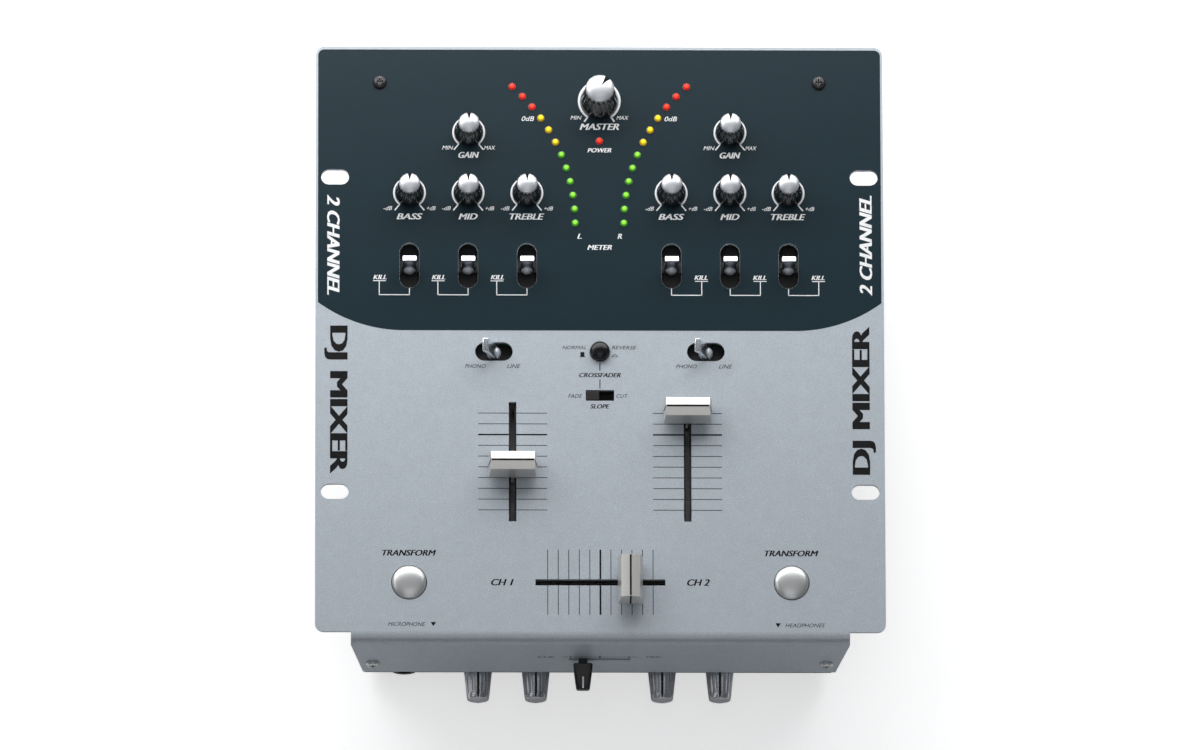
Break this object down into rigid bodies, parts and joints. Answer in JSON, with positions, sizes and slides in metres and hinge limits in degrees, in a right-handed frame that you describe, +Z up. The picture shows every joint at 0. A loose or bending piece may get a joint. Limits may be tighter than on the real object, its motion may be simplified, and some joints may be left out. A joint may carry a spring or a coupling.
{
  "type": "dj mixer",
  "caption": "Low desktop audio mixer with a slotted rack faceplate, fluted rotary knobs, lever switches, curved level meter, sliding faders and a sloped control fascia.",
  "frame": {"origin": "centre of the bounding box's base, on the surface the feet stand on", "axes": "+X to the user's right, +Y to the rear, +Z up"},
  "size_m": [0.254, 0.2944, 0.0993],
  "materials": {
    "face_paint": "fine-grained silver enamel with a dark slate printed area",
    "chassis_paint": "fine-textured black powder coat",
    "foot_rubber": "matt rubber",
    "bright_steel": "zinc plated",
    "black_steel": "black oxide",
    "brass_posts": "turned brass",
    "circuit_board": "green solder mask",
    "pot_steel": "plated steel can",
    "switch_black": "moulded black plastic",
    "shield_black": "black film",
    "led_green": "diffused lens",
    "led_yellow": "diffused lens",
    "led_red": "diffused lens",
    "jack_black": "moulded black plastic",
    "nickel": "nickel plate",
    "ring_red": "moulded red plastic",
    "ring_white": "moulded white plastic",
    "knob_black": "glossy fluted black with a silver dome",
    "knob_smoked": "smoked chrome plating with a black pointer line",
    "lever_metal": "satin chrome",
    "button_black": "polished black",
    "button_silver": "satin silver",
    "fader_cap": "grey and ivory moulded cap with a black line"
  },
  "bodies": {
    "chassis": {"top_panel": "face_paint", "chassis_tray": "chassis_paint", "rubber_feet": "foot_rubber", "foot_screws": "bright_steel", "panel_screws": "black_steel", "fascia_screws": "bright_steel", "board_standoffs": "brass_posts", "main_circuit_board": "circuit_board", "front_circuit_board": "circuit_board", "rear_circuit_board": "circuit_board", "rotary_pots": "pot_steel", "front_pots": "pot_steel", "lever_switch_bodies": "switch_black", "reverse_switch_body": "switch_black", "slope_switch_body": "switch_black", "transform_switches": "switch_black", "fader_bodies": "pot_steel", "fader_dust_shields": "shield_black", "cue_slider_body": "switch_black", "meter_leds_green": "led_green", "meter_leds_yellow": "led_yellow", "meter_leds_red": "led_red", "front_jacks": "jack_black", "rca_barrels": "nickel", "rca_rings_red": "ring_red", "rca_rings_white": "ring_white", "ground_posts": "nickel", "power_inlet": "jack_black", "power_switch_body": "switch_black"},
    "knob_gain_left": {"knob_gain_left": "knob_black"},
    "knob_bass_left": {"knob_bass_left": "knob_black"},
    "knob_mid_left": {"knob_mid_left": "knob_black"},
    "knob_treble_left": {"knob_treble_left": "knob_black"},
    "knob_gain_right": {"knob_gain_right": "knob_black"},
    "knob_bass_right": {"knob_bass_right": "knob_black"},
    "knob_mid_right": {"knob_mid_right": "knob_black"},
    "knob_treble_right": {"knob_treble_right": "knob_black"},
    "knob_master": {"knob_master": "knob_black"},
    "knob_microphone_level": {"knob_microphone_level": "knob_smoked"},
    "knob_microphone_tone": {"knob_microphone_tone": "knob_smoked"},
    "knob_cue_mix": {"knob_cue_mix": "knob_smoked"},
    "knob_headphone_level": {"knob_headphone_level": "knob_smoked"},
    "kill_lever_bass_left": {"kill_lever_bass_left": "lever_metal"},
    "kill_lever_mid_left": {"kill_lever_mid_left": "lever_metal"},
    "kill_lever_treble_left": {"kill_lever_treble_left": "lever_metal"},
    "kill_lever_bass_right": {"kill_lever_bass_right": "lever_metal"},
    "kill_lever_mid_right": {"kill_lever_mid_right": "lever_metal"},
    "kill_lever_treble_right": {"kill_lever_treble_right": "lever_metal"},
    "input_lever_left": {"input_lever_left": "lever_metal"},
    "input_lever_right": {"input_lever_right": "lever_metal"},
    "reverse_button": {"reverse_button": "button_black"},
    "slope_slider": {"slope_slider": "switch_black"},
    "channel_fader_left": {"channel_fader_left": "fader_cap"},
    "channel_fader_right": {"channel_fader_right": "fader_cap"},
    "crossfader": {"crossfader": "fader_cap"},
    "cue_slider": {"cue_slider": "button_black"},
    "transform_button_left": {"transform_button_left": "button_silver"},
    "transform_button_right": {"transform_button_right": "button_silver"},
    "power_rocker": {"power_rocker": "button_black"}
  },
  "joints": [
    {"name": "knob_gain_left_turn", "type": "hinge", "parent": "chassis", "child": "knob_gain_left", "pos_m": [-0.0585, 0.10535, 0.078], "axis": [0, 0, 1], "range_deg": [-150, 150]},
    {"name": "knob_bass_left_turn", "type": "hinge", "parent": "chassis", "child": "knob_bass_left", "pos_m": [-0.085, 0.07705, 0.078], "axis": [0, 0, 1], "range_deg": [-150, 150]},
    {"name": "knob_mid_left_turn", "type": "hinge", "parent": "chassis", "child": "knob_mid_left", "pos_m": [-0.0588, 0.07705, 0.078], "axis": [0, 0, 1], "range_deg": [-150, 150]},
    {"name": "knob_treble_left_turn", "type": "hinge", "parent": "chassis", "child": "knob_treble_left", "pos_m": [-0.0325, 0.07705, 0.078], "axis": [0, 0, 1], "range_deg": [-150, 150]},
    {"name": "knob_gain_right_turn", "type": "hinge", "parent": "chassis", "child": "knob_gain_right", "pos_m": [0.0585, 0.10535, 0.078], "axis": [0, 0, 1], "range_deg": [-150, 150]},
    {"name": "knob_bass_right_turn", "type": "hinge", "parent": "chassis", "child": "knob_bass_right", "pos_m": [0.0321, 0.07705, 0.078], "axis": [0, 0, 1], "range_deg": [-150, 150]},
    {"name": "knob_mid_right_turn", "type": "hinge", "parent": "chassis", "child": "knob_mid_right", "pos_m": [0.0583, 0.07705, 0.078], "axis": [0, 0, 1], "range_deg": [-150, 150]},
    {"name": "knob_treble_right_turn", "type": "hinge", "parent": "chassis", "child": "knob_treble_right", "pos_m": [0.0844, 0.07705, 0.078], "axis": [0, 0, 1], "range_deg": [-150, 150]},
    {"name": "knob_master_turn", "type": "hinge", "parent": "chassis", "child": "knob_master", "pos_m": [0, 0.12005, 0.078], "axis": [0, 0, 1], "range_deg": [-115, 185]},
    {"name": "knob_microphone_level_turn", "type": "hinge", "parent": "chassis", "child": "knob_microphone_level", "pos_m": [-0.054, -0.12745, 0.028], "axis": [0, -1, 0], "range_deg": [-150, 150]},
    {"name": "knob_microphone_tone_turn", "type": "hinge", "parent": "chassis", "child": "knob_microphone_tone", "pos_m": [-0.0282, -0.12745, 0.028], "axis": [0, -1, 0], "range_deg": [-150, 150]},
    {"name": "knob_cue_mix_turn", "type": "hinge", "parent": "chassis", "child": "knob_cue_mix", "pos_m": [0.0282, -0.12745, 0.028], "axis": [0, -1, 0], "range_deg": [-150, 150]},
    {"name": "knob_headphone_level_turn", "type": "hinge", "parent": "chassis", "child": "knob_headphone_level", "pos_m": [0.054, -0.12745, 0.028], "axis": [0, -1, 0], "range_deg": [-150, 150]},
    {"name": "kill_bass_left_swing", "type": "hinge", "parent": "chassis", "child": "kill_lever_bass_left", "pos_m": [-0.085, 0.04315, 0.075], "axis": [1, 0, 0], "range_deg": [-15, 15]},
    {"name": "kill_mid_left_swing", "type": "hinge", "parent": "chassis", "child": "kill_lever_mid_left", "pos_m": [-0.0588, 0.04315, 0.075], "axis": [1, 0, 0], "range_deg": [-15, 15]},
    {"name": "kill_treble_left_swing", "type": "hinge", "parent": "chassis", "child": "kill_lever_treble_left", "pos_m": [-0.0325, 0.04315, 0.075], "axis": [1, 0, 0], "range_deg": [-15, 15]},
    {"name": "kill_bass_right_swing", "type": "hinge", "parent": "chassis", "child": "kill_lever_bass_right", "pos_m": [0.0321, 0.04315, 0.075], "axis": [1, 0, 0], "range_deg": [-15, 15]},
    {"name": "kill_mid_right_swing", "type": "hinge", "parent": "chassis", "child": "kill_lever_mid_right", "pos_m": [0.0583, 0.04315, 0.075], "axis": [1, 0, 0], "range_deg": [-15, 15]},
    {"name": "kill_treble_right_swing", "type": "hinge", "parent": "chassis", "child": "kill_lever_treble_right", "pos_m": [0.0844, 0.04315, 0.075], "axis": [1, 0, 0], "range_deg": [-15, 15]},
    {"name": "input_left_swing", "type": "hinge", "parent": "chassis", "child": "input_lever_left", "pos_m": [-0.0473, 0.00325, 0.075], "axis": [0, 1, 0], "range_deg": [0, 30]},
    {"name": "input_right_swing", "type": "hinge", "parent": "chassis", "child": "input_lever_right", "pos_m": [0.0473, 0.00325, 0.075], "axis": [0, 1, 0], "range_deg": [0, 30]},
    {"name": "reverse_press", "type": "slide", "parent": "chassis", "child": "reverse_button", "axis": [0, 0, -1], "range_m": [0, 0.0025]},
    {"name": "slope_slide", "type": "slide", "parent": "chassis", "child": "slope_slider", "axis": [1, 0, 0], "range_m": [0, 0.0064]},
    {"name": "channel_fader_left_slide", "type": "slide", "parent": "chassis", "child": "channel_fader_left", "axis": [0, 1, 0], "range_m": [-0.0197, 0.0251]},
    {"name": "channel_fader_right_slide", "type": "slide", "parent": "chassis", "child": "channel_fader_right", "axis": [0, 1, 0], "range_m": [-0.0448, 0]},
    {"name": "crossfader_slide", "type": "slide", "parent": "chassis", "child": "crossfader", "axis": [1, 0, 0], "range_m": [-0.0358, 0.0092]},
    {"name": "cue_slide", "type": "slide", "parent": "chassis", "child": "cue_slider", "axis": [1, 0, 0], "range_m": [-0.002, 0.017]},
    {"name": "transform_left_press", "type": "slide", "parent": "chassis", "child": "transform_button_left", "axis": [0, 0, -1], "range_m": [0, 0.0015], "stiffness_N_per_m": 400, "springref_m": -0.001},
    {"name": "transform_right_press", "type": "slide", "parent": "chassis", "child": "transform_button_right", "axis": [0, 0, -1], "range_m": [0, 0.0015], "stiffness_N_per_m": 400, "springref_m": -0.001},
    {"name": "power_rock", "type": "hinge", "parent": "chassis", "child": "power_rocker", "pos_m": [0.088, 0.13675, 0.033], "axis": [1, 0, 0], "range_deg": [-20, 0]}
  ]
}
